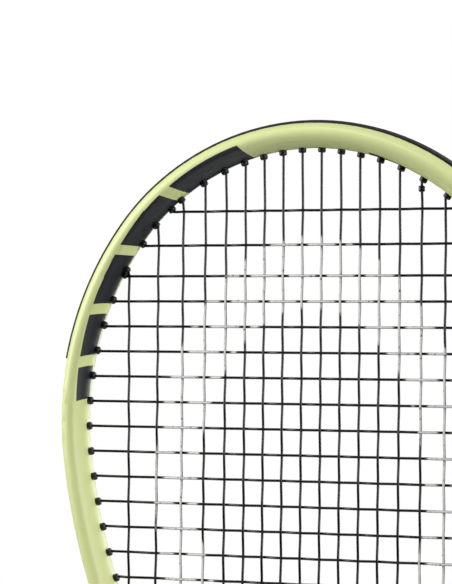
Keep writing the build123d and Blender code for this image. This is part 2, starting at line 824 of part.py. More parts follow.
export_step(dampener_badge.part, "parts/dampener_badge.step")
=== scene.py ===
"""Looks for a strung tennis racket: woven strings, painted frame, moulded trim, wrapped grip and a stage."""

import math

import bmesh
import bpy
from mathutils import Euler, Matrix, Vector


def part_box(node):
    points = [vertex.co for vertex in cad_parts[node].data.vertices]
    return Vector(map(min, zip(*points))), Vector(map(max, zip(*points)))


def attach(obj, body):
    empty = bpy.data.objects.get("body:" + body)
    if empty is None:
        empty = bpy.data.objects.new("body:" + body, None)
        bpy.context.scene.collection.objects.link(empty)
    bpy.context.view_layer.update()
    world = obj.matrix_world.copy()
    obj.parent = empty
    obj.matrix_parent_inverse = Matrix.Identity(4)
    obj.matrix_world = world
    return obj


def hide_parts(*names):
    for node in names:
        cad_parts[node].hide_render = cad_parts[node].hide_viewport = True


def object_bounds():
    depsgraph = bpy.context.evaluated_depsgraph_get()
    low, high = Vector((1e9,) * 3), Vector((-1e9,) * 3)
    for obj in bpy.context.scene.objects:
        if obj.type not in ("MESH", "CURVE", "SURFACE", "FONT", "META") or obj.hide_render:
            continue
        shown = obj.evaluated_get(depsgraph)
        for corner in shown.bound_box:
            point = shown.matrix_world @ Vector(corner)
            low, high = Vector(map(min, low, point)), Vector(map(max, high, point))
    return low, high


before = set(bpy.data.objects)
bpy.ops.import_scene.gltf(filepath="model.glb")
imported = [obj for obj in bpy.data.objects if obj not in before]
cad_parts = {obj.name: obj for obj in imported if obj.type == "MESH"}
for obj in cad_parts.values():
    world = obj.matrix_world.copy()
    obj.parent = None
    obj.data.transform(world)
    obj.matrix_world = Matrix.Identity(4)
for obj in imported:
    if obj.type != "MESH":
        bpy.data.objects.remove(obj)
cad_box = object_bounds()

bl_info = {
    "name": "Tennis Racket Looks",
    "version": (1, 0, 0),
    "blender": (4, 5, 0),
    "location": "View3D > Sidebar > Racket",
    "description": "Finishes a packed tennis racket: strings, paint, trim, grip and a studio stage",
    "category": "Object",
}

MM = 0.001
BODY = "racket"
X, Z = 0, 2


# ---- sizes and colours a user may change ---------------------------------------------------------------
class StringSettings(bpy.types.PropertyGroup):
    """String bed"""

    main_wave: bpy.props.FloatProperty(
        name="Main wave", description="How far a main rises or dips at a crossing", default=0.38 * MM,
        unit="LENGTH", precision=5,
    )
    cross_wave: bpy.props.FloatProperty(
        name="Cross wave", description="How far a cross rises or dips at a crossing", default=0.94 * MM,
        unit="LENGTH", precision=5,
    )
    cuts: bpy.props.IntProperty(
        name="Cuts", description="Rings of vertices from one crossing to the next", default=4, min=2
    )
    colour: bpy.props.StringProperty(name="Colour", description="Black co-polyester", default="#060607")
    ink: bpy.props.StringProperty(name="Ink", description="White stencil ink", default="#D9D9D5")
    ring_width: bpy.props.FloatProperty(
        name="Ring width", description="Half the width of the painted oval ring", default=83 * MM,
        unit="LENGTH",
    )
    ring_height: bpy.props.FloatProperty(
        name="Ring height", description="Half the height of the painted oval ring", default=124 * MM,
        unit="LENGTH",
    )
    ring_hole: bpy.props.FloatProperty(
        name="Ring hole", description="Size of the ring's hole, as a share of the ring", default=0.72, min=0,
        max=1,
    )


class PaintSettings(bpy.types.PropertyGroup):
    """Painted frame"""

    paint: bpy.props.StringProperty(name="Paint", description="Pale yellow-green", default="#D8E09D")
    graphic: bpy.props.StringProperty(name="Graphic", description="Charcoal bars", default="#1E2226")
    roughness: bpy.props.FloatProperty(
        name="Roughness", description="Satin lacquer", default=0.48, min=0, max=1, subtype="FACTOR"
    )
    bar_slant: bpy.props.FloatProperty(
        name="Bar slant", description="How far a bar's end leans over its width", default=0.6
    )


class GripSettings(bpy.types.PropertyGroup):
    """Wrapped handle"""

    pitch: bpy.props.FloatProperty(
        name="Wrap pitch", description="Height of one turn of the wrap", default=21 * MM, unit="LENGTH"
    )
    ridge: bpy.props.FloatProperty(
        name="Ridge", description="Height of the overlap", default=0.7 * MM, unit="LENGTH", precision=5
    )
    colour: bpy.props.StringProperty(name="Colour", description="Black polyurethane", default="#1B1C1E")


class StageSettings(bpy.types.PropertyGroup):
    """Floor, light and camera"""

    floor_colour: bpy.props.StringProperty(name="Floor", description="Plain pale floor", default="#F0F0EE")
    floor_radius: bpy.props.FloatProperty(
        name="Floor radius", description="Half the width of the round floor", default=0.55, unit="LENGTH"
    )
    left_power: bpy.props.FloatProperty(
        name="Left light", description="Watts of the left soft box", default=10.2
    )
    right_power: bpy.props.FloatProperty(
        name="Right light", description="Watts of the right soft box, which is farther off", default=24
    )
    back_power: bpy.props.FloatProperty(
        name="Back light", description="Watts of the back soft box", default=12
    )
    top_power: bpy.props.FloatProperty(
        name="Top light", description="Watts of the overhead soft box", default=4
    )
    lens: bpy.props.FloatProperty(name="Lens", description="Focal length in millimetres", default=169.1)
    camera: bpy.props.FloatVectorProperty(
        name="Camera", description="Place of the camera", default=(0.4838, -1.2465, 0.5707), unit="LENGTH"
    )
    turn: bpy.props.FloatVectorProperty(
        name="Turn", description="Pitch, roll and azimuth of the camera", subtype="EULER",
        default=(math.radians(91.3), math.radians(0.51), math.radians(23.0)),
    )


# ---- small helpers -------------------------------------------------------------------------------------
def linear(hex_colour):
    """sRGB hex to the linear colour that the shaders take."""
    parts = [int(hex_colour[i:i + 2], 16) / 255 for i in (1, 3, 5)]
    return [c / 12.92 if c <= 0.04045 else ((c + 0.055) / 1.055) ** 2.4 for c in parts] + [1.0]


def add_node(tree, kind, inputs=None, **settings):
    """A new node; each input is a value or another node's output."""
    node = tree.nodes.new("ShaderNode" + kind)
    for name, value in settings.items():
        setattr(node, name, value)
    for name, value in (inputs or {}).items():
        if isinstance(value, bpy.types.NodeSocket):
            tree.links.new(value, node.inputs[name])
        else:
            node.inputs[name].default_value = value
    return node


def start_material(name):
    """An empty material, with the place on the object that its patterns follow."""
    material = bpy.data.materials.new(name)
    material.use_nodes = True
    tree = material.node_tree
    tree.nodes.clear()
    return material, tree, add_node(tree, "TexCoord").outputs["Object"]


def close_material(material, inputs):
    """Ends a material with one shader."""
    tree = material.node_tree
    shader = add_node(tree, "BsdfPrincipled", inputs)
    add_node(tree, "OutputMaterial", {"Surface": shader.outputs["BSDF"]})
    return material


def give(node, material):
    """Puts a material on a node of the frame."""
    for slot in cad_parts[node].material_slots:
        slot.material = material


def new_piece(name, bm, material, smooth=True):
    """Turns a finished bmesh into an object of one material."""
    mesh = bpy.data.meshes.new(name)
    bm.to_mesh(mesh)
    bm.free()
    old_normals = mesh.attributes.get("custom_normal")  # they come with a copied mesh, wrong once it is bent
    if old_normals:
        mesh.attributes.remove(old_normals)
    for face in mesh.polygons:
        face.use_smooth = smooth
    mesh.materials.append(material)
    piece = bpy.data.objects.new(name, mesh)
    bpy.context.scene.collection.objects.link(piece)
    return piece


def smooth_step(value):
    """Eases from 0 to 1 as the value does, and stays level beyond."""
    value = min(max(value, 0.0), 1.0)
    return value * value * (3 - 2 * value)


# ---- finishes that several parts share -----------------------------------------------------------------
def nylon_material(name, colour, rough):
    # Moulded nylon: deep black with a dull skin, and paler where it has rubbed on a court. The grain is drawn
    # half a millimetre wide, coarser than the mould's spark-eroded skin, so that it shows.
    material, tree, place = start_material(name)
    rubbed = add_node(tree, "TexNoise", {"Vector": place, "Scale": 1 / (7 * MM), "Detail": 6.0})
    scuff = add_node(
        tree, "MapRange", {"Value": rubbed.outputs["Fac"], "From Min": 0.60, "From Max": 0.78},
        interpolation_type="SMOOTHSTEP",
    )
    pale = add_node(tree, "Math", {0: scuff.outputs[0], 1: 0.35}, operation="MULTIPLY")
    base = add_node(
        tree, "Mix", {0: pale.outputs[0], 6: linear(colour), 7: linear("#3A3A3C")}, data_type="RGBA"
    )
    skin = add_node(tree, "Math", {0: scuff.outputs[0], 1: 0.15, 2: rough}, operation="MULTIPLY_ADD")
    pits = add_node(tree, "TexNoise", {"Vector": place, "Scale": 1 / (0.5 * MM), "Detail": 2.0})
    grain = add_node(tree, "Bump", {"Height": pits.outputs["Fac"], "Distance": 0.02 * MM, "Strength": 0.6})
    return close_material(
        material,
        {"Base Color": base.outputs[2], "Roughness": skin.outputs[0], "IOR": 1.53,
         "Normal": grain.outputs["Normal"]},
    )


def plain_material(name, colour, rough, ior=1.5, metallic=0.0, grain=0.4 * MM, relief=0.02 * MM):
    """An unworn part's finish: its colour drifts over a centimetre, and its skin has a grain of its own.

    A moulded skin's grain is drawn 0.4 mm wide, coarser than the real one, so that it shows.
    """
    material, tree, place = start_material(name)
    drift = add_node(tree, "TexNoise", {"Vector": place, "Scale": 1 / (12 * MM), "Detail": 4.0})
    paler = [c * 1.5 for c in linear(colour)[:3]] + [1.0]
    base = add_node(tree, "Mix", {0: drift.outputs["Fac"], 6: linear(colour), 7: paler}, data_type="RGBA")
    pits = add_node(tree, "TexNoise", {"Vector": place, "Scale": 1 / grain, "Detail": 2.0})
    skin = add_node(tree, "Bump", {"Height": pits.outputs["Fac"], "Distance": relief, "Strength": 0.6})
    return close_material(
        material,
        {"Base Color": base.outputs[2], "Roughness": rough, "IOR": ior, "Metallic": metallic,
         "Normal": skin.outputs["Normal"]},
    )


# ---- the hoop's shape, as the frame was drawn ----------------------------------------------------------
TOP_RADIUS = 122 * MM
SIDE_RADIUS = 154 * MM
TUBE_HALF_WIDTH = 6.45 * MM
GUARD_COVER = 0.9 * MM
WIDEST_DROP = 139.7 * MM  # from the tip of the tube's centre line to the hoop's widest point
SIDE_CENTRE_X = -27.0 * MM  # centre of the right side's arc
tip_z = cad_box[1][2] - GUARD_COVER - TUBE_HALF_WIDTH  # tip of the tube's centre line
widest_z = tip_z - WIDEST_DROP

# ---- strings -------------------------------------------------------------------------------------------
RUN_APART = 3 * MM  # two runs of one string are farther apart than this
RUN_REACH = 1.5 * MM  # a run's own vertices are nearer to its middle than this
MAIN_DEPTH = -0.66 * MM  # depth of the mains where they leave the frame
CROSS_DEPTH = 0.66 * MM  # depth of the crosses there
COLLAR_RADIUS = 2.05 * MM
COLLAR_LENGTH = 3.0 * MM
COLLAR_OFFSET = 1.9 * MM  # from the string's bend to the middle of a collar
COLLAR_TAPER = 0.92  # outer end's radius as a share of the inner end's
COLLAR_ROUNDING = 0.45 * COLLAR_RADIUS
RING_DROP = 33 * MM  # from the hoop's widest point down to the middle of the painted ring
RING_RAGGED = 0.03  # unevenness of the ring's edges, as a share of the ring
INK_FACING = (-0.45, -0.80)  # y of the surface's normal where the ink begins, and where it is whole
INK_DEPTH = (0.15 * MM, -0.25 * MM)  # depth in the bed where the ink begins, and where it is whole
STRING_ROUGHNESS = 0.25
INK_ROUGHNESS = 0.60
INK_SPECKS = (0.26, 0.42)  # the noise below the first is bare string, and above the second is ink
RING_FADE = 0.02  # width of the ring's edges, as a share of the ring
FLAT = 1000.0  # so large a scale through the string bed that depth counts for nothing


def string_copy(node):
    """A string's own mesh, merged and freed of the seams in its flat facets, ready to be cut and bent."""
    bm = bmesh.new()
    bm.from_mesh(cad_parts[node].data)
    bmesh.ops.remove_doubles(bm, verts=bm.verts, dist=1e-6)
    bmesh.ops.dissolve_limit(bm, angle_limit=math.radians(0.5), verts=bm.verts, edges=bm.edges)
    return bm


def cut(bm, axis, at):
    """Cuts a ring of vertices into every string that crosses the plane, and returns them."""
    normal = [0, 0, 0]
    normal[axis] = 1
    place = [0, 0, 0]
    place[axis] = at
    everything = bm.verts[:] + bm.edges[:] + bm.faces[:]
    found = bmesh.ops.bisect_plane(bm, geom=everything, dist=1e-7, plane_co=place, plane_no=normal)
    return [item for item in found["geom_cut"] if isinstance(item, bmesh.types.BMVert)]


def runs_of(bm, along, across, middle):
    """Each straight run of a string: its place across the bed, and where it bends at its two ends."""
    corners = [v.co.copy() for v in bm.verts]
    groups = []
    for place in sorted(v.co[across] for v in cut(bm, along, middle)):
        if groups and place - groups[-1][-1] < RUN_APART:
            groups[-1].append(place)
        else:
            groups.append([place])
    runs = []
    for group in groups:
        centre = (group[0] + group[-1]) / 2
        near = [co[along] for co in corners if abs(co[across] - centre) < RUN_REACH]
        low = max(value for value in near if value < middle)
        high = min(value for value in near if value > middle)
        runs.append((centre, low, high))
    return runs


def wave(value, crossings, size, rest, low, high):
    """How deep a string lies at a place along it, as it passes over and under the strings that it crosses."""
    inside = [crossing for crossing in crossings if low < crossing < high]
    first, last = inside[0], inside[-1]
    if value <= first:
        edge = size * (-1) ** crossings.index(first)
        return rest + (edge - rest) * smooth_step((value - low) / (first - low))
    if value >= last:
        edge = size * (-1) ** crossings.index(last)
        return rest + (edge - rest) * smooth_step((high - value) / (high - last))
    before = max(k for k, crossing in enumerate(crossings) if crossing <= value)
    share = (value - crossings[before]) / (crossings[before + 1] - crossings[before])
    return size * math.cos(math.pi * (before + share))


def weave(bm, runs, crossings, along, across, size, cuts):
    """Bends every run of a string over and under the strings that it crosses."""
    step = (crossings[-1] - crossings[-2]) / cuts
    places = [a + (b - a) * k / cuts for a, b in zip(crossings, crossings[1:]) for k in range(cuts)]
    places += [crossings[-1] + step * k for k in range(2 * cuts)]
    places += [crossings[0] - step * k for k in range(1, 2 * cuts)]
    for place in places:
        cut(bm, along, place)
    rest = sum(v.co.y for v in bm.verts) / len(bm.verts)
    for i, (centre, low, high) in enumerate(runs):
        for v in bm.verts:
            if abs(v.co[across] - centre) < RUN_REACH and low <= v.co[along] <= high:
                v.co.y += wave(v.co[along], crossings, size * (-1) ** i, rest, low, high) - rest


def string_material(s):
    # Extruded co-polyester monofilament: smooth and near black, with a thin bright line along each string.
    # Matt white stencil ink is rolled on from the front, and is missing where a string dips behind another.
    material, tree, place = start_material("extruded_co_polyester_string_with_stencil_ink")
    middle_z = widest_z - RING_DROP
    on_ring = add_node(
        tree, "Mapping",
        {"Vector": place, "Location": (0, 0, middle_z), "Scale": (s.ring_width, FLAT, s.ring_height)},
        vector_type="TEXTURE",
    )
    away = add_node(tree, "VectorMath", {0: on_ring.outputs["Vector"]}, operation="LENGTH")
    patches = add_node(tree, "TexNoise", {"Vector": place, "Scale": 1 / (5 * MM), "Detail": 3.0})
    ragged = add_node(
        tree, "Math", {0: patches.outputs["Fac"], 1: RING_RAGGED, 2: away.outputs["Value"]},
        operation="MULTIPLY_ADD",
    )
    inner = add_node(
        tree, "MapRange",
        {"Value": ragged.outputs[0], "From Min": s.ring_hole, "From Max": s.ring_hole + RING_FADE},
        interpolation_type="SMOOTHSTEP",
    )
    outer = add_node(
        tree, "MapRange", {"Value": ragged.outputs[0], "From Min": 1 + RING_FADE, "From Max": 1.0},
        interpolation_type="SMOOTHSTEP",
    )
    ring = add_node(tree, "Math", {0: inner.outputs[0], 1: outer.outputs[0]}, operation="MULTIPLY")
    normal = add_node(tree, "NewGeometry").outputs["Normal"]
    facing = add_node(tree, "SeparateXYZ", {"Vector": normal})
    front = add_node(
        tree, "MapRange",
        {"Value": facing.outputs["Y"], "From Min": INK_FACING[0], "From Max": INK_FACING[1]},
        interpolation_type="SMOOTHSTEP",
    )
    depth = add_node(tree, "SeparateXYZ", {"Vector": place})
    reached = add_node(
        tree, "MapRange", {"Value": depth.outputs["Y"], "From Min": INK_DEPTH[0], "From Max": INK_DEPTH[1]},
        interpolation_type="SMOOTHSTEP",
    )
    specks = add_node(tree, "TexNoise", {"Vector": place, "Scale": 1 / (1.6 * MM), "Detail": 4.0})
    worn = add_node(
        tree, "MapRange",
        {"Value": specks.outputs["Fac"], "From Min": INK_SPECKS[0], "From Max": INK_SPECKS[1]},
        interpolation_type="SMOOTHSTEP",
    )
    inked = ring.outputs[0]
    for mask in (front, reached, worn):
        inked = add_node(tree, "Math", {0: inked, 1: mask.outputs[0]}, operation="MULTIPLY").outputs[0]
    drift = add_node(tree, "TexNoise", {"Vector": place, "Scale": 1 / (20 * MM), "Detail": 3.0})
    plastic = add_node(
        tree, "Mix", {0: drift.outputs["Fac"], 6: linear(s.colour), 7: linear("#0D0D10")}, data_type="RGBA"
    )
    base = add_node(tree, "Mix", {0: inked, 6: plastic.outputs[2], 7: linear(s.ink)}, data_type="RGBA")
    rough = add_node(
        tree, "Math", {0: inked, 1: INK_ROUGHNESS - STRING_ROUGHNESS, 2: STRING_ROUGHNESS},
        operation="MULTIPLY_ADD",
    )
    return close_material(
        material, {"Base Color": base.outputs[2], "Roughness": rough.outputs[0], "IOR": 1.5}
    )


def grommet_places(main_runs, cross_runs):
    """The bend of the string at each grommet, and the way out of the hoop there."""
    places = []
    for x, low, high in main_runs:
        places += [Vector((x, MAIN_DEPTH, low)), Vector((x, MAIN_DEPTH, high))]
    for z, low, high in cross_runs:
        places += [Vector((low, CROSS_DEPTH, z)), Vector((high, CROSS_DEPTH, z))]
    middle = sum(place.z for place in places) / len(places)
    places.sort(key=lambda place: math.atan2(place.z - middle, place.x))
    found = []
    for before, place, after in zip(places[-1:] + places[:-1], places, places[1:] + places[:1]):
        along = after - before
        found.append((place, Vector((along.z, 0, -along.x)).normalized()))
    return found


def make_collars(places):
    """A rounded collar round the mouth of every grommet."""
    bm = bmesh.new()
    bmesh.ops.create_cone(
        bm, cap_ends=True, segments=14, radius1=COLLAR_RADIUS, radius2=COLLAR_RADIUS * COLLAR_TAPER,
        depth=COLLAR_LENGTH,
    )
    rims = [edge for edge in bm.edges if edge.verts[0].co.z * edge.verts[1].co.z > 0]
    bmesh.ops.bevel(
        bm, geom=rims, affect="EDGES", offset=COLLAR_ROUNDING, segments=3, profile=0.5, material=-1
    )
    pattern = bm.verts[:] + bm.edges[:] + bm.faces[:]
    for place, outward in places:
        copied = bmesh.ops.duplicate(bm, geom=pattern)["geom"]
        verts = [item for item in copied if isinstance(item, bmesh.types.BMVert)]
        turn = outward.to_track_quat("Z", "Y").to_matrix()
        bmesh.ops.rotate(bm, verts=verts, cent=(0, 0, 0), matrix=turn)
        bmesh.ops.translate(bm, verts=verts, vec=place + outward * COLLAR_OFFSET)
    bmesh.ops.delete(bm, geom=[item for item in pattern if isinstance(item, bmesh.types.BMVert)])
    return bm


class RACKET_OT_strings(bpy.types.Operator):
    """Weave the mains and the crosses, stencil them, and put a collar on each grommet"""

    bl_idname = "racket.strings"
    bl_label = "Strings"

    def execute(self, context):
        s = context.scene.racket_strings
        material = string_material(s)
        mains = string_copy("main_string")
        crosses = string_copy("cross_string")
        main_runs = runs_of(mains, Z, X, widest_z)
        cross_runs = runs_of(crosses, X, Z, 0.0)
        main_places = [run[0] for run in main_runs]
        cross_places = [run[0] for run in cross_runs]
        weave(mains, main_runs, cross_places, Z, X, s.main_wave, s.cuts)
        weave(crosses, cross_runs, main_places, X, Z, -s.cross_wave, s.cuts)
        woven = (("woven_mains", mains, "main_string"), ("woven_crosses", crosses, "cross_string"))
        for name, bm, node in woven:
            piece = new_piece(name, bm, material)
            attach(piece, BODY)
            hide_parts(node)
        give("tie_off_knots", material)
        # Nylon collars, moulded with the strips: dead black, with a soft low gloss on their rounded lips.
        nylon = nylon_material("moulded_nylon_collars", "#070708", 0.42)
        collars = new_piece("grommet_collars", make_collars(grommet_places(main_runs, cross_runs)), nylon)
        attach(collars, BODY)
        return {"FINISHED"}


# ---- frame ---------------------------------------------------------------------------------------------
BARS = ((36, 78), (84, 118), (124, 152), (158, 180), (186, 204))  # start and end of each, in mm from the tip
BAR_SPAN = 250 * MM
BAR_OUTER_EDGE = -1.4 * MM  # the bars' outer edge at the tip: this far outside the tube's centre line
BAR_EDGE_RISE = 0.026  # how far that edge moves inwards for its way along the hoop
BAR_OVERLAP = 1.5 * MM * 120 * MM  # the bars end 1.5 mm past the tube's middle, where it is 120 mm aside
ARC_CHANGE = math.radians(45)  # where the bars stop following the top arc and follow the side arc


def along_hoop(tree, place):
    """How far along the hoop from its tip each point lies, and how far inside the tube's centre line."""
    top_z = tip_z - TOP_RADIUS
    change_x = TOP_RADIUS * math.cos(ARC_CHANGE)
    change_z = top_z + TOP_RADIUS * math.sin(ARC_CHANGE)
    side_change = math.atan2(change_z - widest_z, change_x - SIDE_CENTRE_X)
    top_start = TOP_RADIUS * math.pi / 2
    side_start = TOP_RADIUS * (math.pi / 2 - ARC_CHANGE) + SIDE_RADIUS * side_change
    right_half = add_node(tree, "VectorMath", {0: place}, operation="ABSOLUTE")
    angles, runs, insides = [], [], []
    for shift, radius, start in (  # the shift brings the arc's centre to the origin
        ((0, 0, -top_z), TOP_RADIUS, top_start),
        ((-SIDE_CENTRE_X, 0, -widest_z), SIDE_RADIUS, side_start),
    ):
        spoke = add_node(
            tree, "VectorMath", {0: right_half.outputs["Vector"], 1: (1, 0, 1), 2: shift},
            operation="MULTIPLY_ADD",
        )
        away = add_node(tree, "VectorMath", {0: spoke.outputs["Vector"]}, operation="LENGTH")
        parts = add_node(tree, "SeparateXYZ", {"Vector": spoke.outputs["Vector"]})
        angle = add_node(tree, "Math", {0: parts.outputs["Z"], 1: parts.outputs["X"]}, operation="ARCTAN2")
        run = add_node(tree, "Math", {0: angle.outputs[0], 1: -radius, 2: start}, operation="MULTIPLY_ADD")
        inside = add_node(tree, "Math", {0: radius, 1: away.outputs["Value"]}, operation="SUBTRACT")
        angles.append(angle.outputs[0])
        runs.append(run.outputs[0])
        insides.append(inside.outputs[0])
    on_side = add_node(tree, "Math", {0: angles[0], 1: ARC_CHANGE}, operation="LESS_THAN").outputs[0]
    run = add_node(tree, "Mix", {0: on_side, 2: runs[0], 3: runs[1]}, data_type="FLOAT").outputs[0]
    inside = add_node(tree, "Mix", {0: on_side, 2: insides[0], 3: insides[1]}, data_type="FLOAT").outputs[0]
    return run, inside


def paint_material(s):
    # Satin clear lacquer sprayed over pale yellow-green paint on carbon fibre: even colour, a broad soft
    # sheen and a faint orange peel. Charcoal bars are printed under it, on the left as each face is seen.
    material, tree, place = start_material("satin_lacquered_paint")
    run, inside = along_hoop(tree, place)
    leaned = add_node(tree, "Math", {0: inside, 1: s.bar_slant, 2: run}, operation="MULTIPLY_ADD")
    share = add_node(tree, "Math", {0: leaned.outputs[0], 1: BAR_SPAN}, operation="DIVIDE")
    ramp = add_node(tree, "ValToRGB", {0: share.outputs[0]})
    stops = ramp.color_ramp.elements
    ramp.color_ramp.interpolation = "CONSTANT"
    stops[0].color = (0, 0, 0, 1)
    stops[1].color = (0, 0, 0, 1)
    for start, end in BARS:
        stops.new(start * MM / BAR_SPAN).color = (1, 1, 1, 1)
        stops.new(end * MM / BAR_SPAN).color = (0, 0, 0, 1)
    limit = add_node(tree, "Math", {0: run, 1: BAR_EDGE_RISE, 2: BAR_OUTER_EDGE}, operation="MULTIPLY_ADD")
    on_inner_half = add_node(tree, "Math", {0: inside, 1: limit.outputs[0]}, operation="GREATER_THAN")
    parts = add_node(tree, "SeparateXYZ", {"Vector": place})
    quarter = add_node(tree, "Math", {0: parts.outputs["X"], 1: parts.outputs["Y"]}, operation="MULTIPLY")
    on_left = add_node(tree, "Math", {0: quarter.outputs[0], 1: -BAR_OVERLAP}, operation="GREATER_THAN")
    bars = ramp.outputs["Color"]
    for mask in (on_inner_half, on_left):
        bars = add_node(tree, "Math", {0: bars, 1: mask.outputs[0]}, operation="MULTIPLY").outputs[0]
    drift = add_node(tree, "TexNoise", {"Vector": place, "Scale": 1 / (40 * MM), "Detail": 3.0})
    paint = add_node(
        tree, "Mix", {0: drift.outputs["Fac"], 6: linear(s.paint), 7: linear("#D3DC97")}, data_type="RGBA"
    )
    base = add_node(tree, "Mix", {0: bars, 6: paint.outputs[2], 7: linear(s.graphic)}, data_type="RGBA")
    grain = add_node(tree, "TexNoise", {"Vector": place, "Scale": 1 / (1.2 * MM), "Detail": 2.0})
    peel = add_node(tree, "Bump", {"Height": grain.outputs["Fac"], "Distance": 0.004 * MM, "Strength": 0.5})
    return close_material(
        material,
        {"Base Color": base.outputs[2], "Roughness": s.roughness, "IOR": 1.5,
         "Normal": peel.outputs["Normal"], "Coat Weight": 0.15, "Coat Roughness": 0.35},
    )


class RACKET_OT_frame(bpy.types.Operator):
    """Paint the frame and print the bars"""

    bl_idname = "racket.frame"
    bl_label = "Frame"

    def execute(self, context):
        give("frame", paint_material(context.scene.racket_paint))
        return {"FINISHED"}


# ---- moulded trim --------------------------------------------------------------------------------------
class RACKET_OT_trim(bpy.types.Operator):
    """Finish the bumper guard and the grommet strips"""

    bl_idname = "racket.trim"
    bl_label = "Guard and grommets"

    def execute(self, context):
        # Nylon from a rough mould: the dullest black of the racket.
        give("bumper_guard", nylon_material("moulded_nylon_guard", "#121213", 0.52))
        # Nylon from a smoother mould: blacker, with a little more gloss.
        grommets = nylon_material("moulded_nylon_grommets", "#0C0C0D", 0.40)
        for node in ("grommet_strip_left", "grommet_strip_right", "grommet_strip_bridge"):
            give(node, grommets)
        return {"FINISHED"}


# ---- handle --------------------------------------------------------------------------------------------
HOLE_GAP = 3.0  # between the wrap's pin holes, in mm
HOLE_FLOOR = 0.13  # radius of a pin hole's floor, as a share of that gap
HOLE_RIM = 0.20  # radius of its rim
GRIP_CORNER = 8.0 * MM  # how much an eight-sided section loses at each corner
CORNER_SHARPNESS = 24  # the higher, the sharper the section's corners
FLARE_TOP = 20 * MM  # height at which the swell towards the butt has died away
TAPE_COVER = 0.3 * MM  # how far the finishing tape stands over the wrap
WRAP_WALL = 1.3 * MM
WRAP_SINK = 0.4  # how far the wrap's skin lies under the tape's inner face, as a share of the ridge
RIDGE_CLIMB = 0.04  # share of a turn over which the overlap climbs
RIDGE_FALL = 0.5  # share of a turn over which it eases down
RIDGE_END = 3 * MM  # the ridge dies away this close to the wrap's two ends


def wrap_material(s):
    # Perforated soft polyurethane: matt with a faint bloom, fine leather-like grain and rows of pin holes,
    # each darkened in its middle with painted shade.
    material, tree, place = start_material("perforated_soft_polyurethane")
    around = add_node(tree, "UVMap", uv_map="wrap")
    apart = (1 / HOLE_GAP, 1 / HOLE_GAP, 0)
    cells = add_node(tree, "VectorMath", {0: around.outputs["UV"], 1: apart}, operation="MULTIPLY")
    cell = add_node(tree, "VectorMath", {0: cells.outputs["Vector"]}, operation="FRACTION")
    off = add_node(tree, "VectorMath", {0: cell.outputs["Vector"], 1: (0.5, 0.5, 0)}, operation="DISTANCE")
    rim_height_and_hole_shade = add_node(
        tree, "MapRange",
        {"Value": off.outputs["Value"], "From Min": HOLE_FLOOR, "From Max": HOLE_RIM},
        interpolation_type="SMOOTHSTEP",
    )
    # The pin holes are drawn by bump alone; their near-black middles are painted shade, standing in for the
    # shadow down a real hole.
    base = add_node(
        tree, "Mix", {0: rim_height_and_hole_shade.outputs[0], 6: linear("#050505"), 7: linear(s.colour)}, data_type="RGBA"
    )
    holes = add_node(tree, "Bump", {"Height": rim_height_and_hole_shade.outputs[0], "Distance": 0.35 * MM})
    grain = add_node(tree, "TexNoise", {"Vector": place, "Scale": 1 / (0.6 * MM), "Detail": 3.0})
    skin = add_node(
        tree, "Bump",
        {"Height": grain.outputs["Fac"], "Distance": 0.03 * MM, "Strength": 0.8,
         "Normal": holes.outputs["Normal"]},
    )
    return close_material(
        material,
        {"Base Color": base.outputs[2], "Roughness": 0.58, "IOR": 1.48, "Normal": skin.outputs["Normal"],
         "Sheen Weight": 0.15, "Sheen Roughness": 0.5},
    )


def octagon_reach(angle, half_width, half_depth, diagonal):
    """Distance from the middle to a softly cornered eight-sided outline."""
    sides = [(0, half_width), (90, half_depth), (180, half_width), (270, half_depth)]
    sides += [(turn, diagonal) for turn in (45, 135, 225, 315)]
    total = 0.0
    for turn, reach in sides:
        facing = math.cos(angle - math.radians(turn))
        if facing > 0:
            total += (facing / reach) ** CORNER_SHARPNESS
    return total ** (-1 / CORNER_SHARPNESS)


def wrap_ridge(phase, ridge):
    """Height of the wrap over one turn: a crisp overlap that eases down to the next turn."""
    if phase < RIDGE_CLIMB:
        return ridge * smooth_step(phase / RIDGE_CLIMB)
    return ridge * (1 - smooth_step((phase - RIDGE_CLIMB) / RIDGE_FALL))


class RACKET_OT_grip(bpy.types.Operator):
    """Wrap the handle with a spiral grip"""

    bl_idname = "racket.grip"
    bl_label = "Grip"

    def execute(self, context):
        s = context.scene.racket_grip
        low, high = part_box("base_grip")
        tape_low, tape_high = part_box("finishing_tape")
        half_width = (tape_high.x - tape_low.x) / 2 - TAPE_COVER
        half_depth = (tape_high.y - tape_low.y) / 2 - TAPE_COVER
        diagonal = (half_width + half_depth - GRIP_CORNER) / math.sqrt(2)
        flare = high.x - half_width
        around = math.pi * (half_width + half_depth)
        height = high.z - low.z
        bm = bmesh.new()
        bmesh.ops.create_grid(bm, x_segments=96, y_segments=300, size=0.5)
        uv = bm.loops.layers.uv.new("wrap")
        for face in bm.faces:
            for loop in face.loops:
                u, up = loop.vert.co.x + 0.5, loop.vert.co.y + 0.5
                loop[uv].uv = (u * around / MM, (up * height - s.pitch * u) / MM)
        for v in bm.verts:
            u, up = v.co.x + 0.5, v.co.y + 0.5
            angle = 2 * math.pi * u
            rise = height * up
            swell = flare * max(0.0, 1 - rise / FLARE_TOP)
            ease = smooth_step(min(rise, height - rise) / RIDGE_END)
            ridge = wrap_ridge((rise / s.pitch - u) % 1.0, s.ridge) * ease
            outline = octagon_reach(angle, half_width + swell, half_depth + swell, diagonal + swell)
            reach = outline - s.ridge * WRAP_SINK + ridge
            v.co = (reach * math.cos(angle), reach * math.sin(angle), low.z + rise)
        bmesh.ops.remove_doubles(bm, verts=bm.verts, dist=1e-6)
        bmesh.ops.recalc_face_normals(bm, faces=bm.faces)
        piece = new_piece("spiral_grip", bm, wrap_material(s))
        wall = piece.modifiers.new("wall", "SOLIDIFY")
        wall.thickness = WRAP_WALL
        wall.offset = -1
        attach(piece, BODY)
        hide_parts("base_grip")
        return {"FINISHED"}


